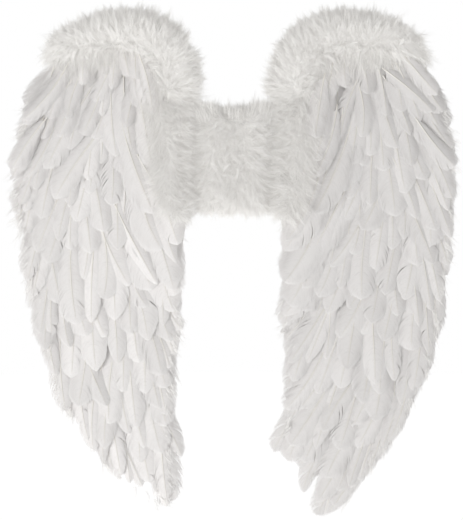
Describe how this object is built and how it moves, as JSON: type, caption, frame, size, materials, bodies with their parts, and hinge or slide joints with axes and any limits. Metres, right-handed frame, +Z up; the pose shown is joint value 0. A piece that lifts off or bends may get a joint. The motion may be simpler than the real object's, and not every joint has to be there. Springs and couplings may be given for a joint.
{
  "type": "feathered costume wings",
  "caption": "Costume wings of overlapping white feathers on wire frames, with a fluffy marabou leading edge, folding on a padded centre yoke with elastic shoulder loops.",
  "frame": {"origin": "centre of the flat face of the back cushion that rests on the wearer's back", "axes": "+Z up as worn, +Y towards the wearer, out of the cushion's face, +X to the right when the feathered side is looked at"},
  "size_m": [0.5295, 0.0954, 0.5831],
  "materials": {
    "feather": "white goose feather, soft satin",
    "marabou": "white marabou down, very soft and matte",
    "felt": "stiffened white felt",
    "lining_cloth": "white woven lining",
    "steel_wire": "drawn galvanised wire",
    "crimp": "crimped tube",
    "tape": "white cotton twill tape",
    "board_card": "stiff white board",
    "cushion_cloth": "white brushed cotton",
    "elastic": "white ribbed elastic"
  },
  "bodies": {
    "centre": {"centre_board": "board_card", "back_cushion": "cushion_cloth", "centre_marabou": "marabou", "left_hinge_channel": "tape", "left_upper_strap_tab": "elastic", "left_lower_strap_tab": "elastic", "right_hinge_channel": "tape", "right_upper_strap_tab": "elastic", "right_lower_strap_tab": "elastic"},
    "left_wing": {"left_wire_frame": "steel_wire", "left_wire_ferrule": "crimp", "left_base_panel": "felt", "left_lining": "lining_cloth", "left_wire_tab_1": "tape", "left_wire_tab_2": "tape", "left_wire_tab_3": "tape", "left_wire_tab_4": "tape", "left_edge_marabou": "marabou", "left_root_marabou": "marabou", "left_feather_row_01": "feather", "left_feather_row_02": "feather", "left_feather_row_03": "feather", "left_feather_row_04": "feather", "left_feather_row_05": "feather", "left_feather_row_06": "feather", "left_feather_row_07": "feather", "left_feather_row_08": "feather", "left_feather_row_09": "feather", "left_feather_row_10": "feather", "left_feather_row_11": "feather"},
    "right_wing": {"right_wire_frame": "steel_wire", "right_wire_ferrule": "crimp", "right_base_panel": "felt", "right_lining": "lining_cloth", "right_wire_tab_1": "tape", "right_wire_tab_2": "tape", "right_wire_tab_3": "tape", "right_wire_tab_4": "tape", "right_edge_marabou": "marabou", "right_root_marabou": "marabou", "right_feather_row_01": "feather", "right_feather_row_02": "feather", "right_feather_row_03": "feather", "right_feather_row_04": "feather", "right_feather_row_05": "feather", "right_feather_row_06": "feather", "right_feather_row_07": "feather", "right_feather_row_08": "feather", "right_feather_row_09": "feather", "right_feather_row_10": "feather", "right_feather_row_11": "feather"},
    "left_strap": {"left_shoulder_strap": "elastic"},
    "right_strap": {"right_shoulder_strap": "elastic"}
  },
  "joints": [
    {"name": "left_wing_fold", "type": "hinge", "parent": "centre", "child": "left_wing", "pos_m": [-0.05, -0.012, 0], "axis": [0, 0, 1], "range_deg": [-10, 65]},
    {"name": "right_wing_fold", "type": "hinge", "parent": "centre", "child": "right_wing", "pos_m": [0.05, -0.012, 0], "axis": [0, 0, -1], "range_deg": [-10, 65]},
    {"name": "left_strap_swing", "type": "hinge", "parent": "centre", "child": "left_strap", "pos_m": [-0.0365, -0.008, 0], "axis": [0, 0, 1], "range_deg": [-70, 10]},
    {"name": "right_strap_swing", "type": "hinge", "parent": "centre", "child": "right_strap", "pos_m": [0.0365, -0.008, 0], "axis": [0, 0, -1], "range_deg": [-70, 10]}
  ]
}
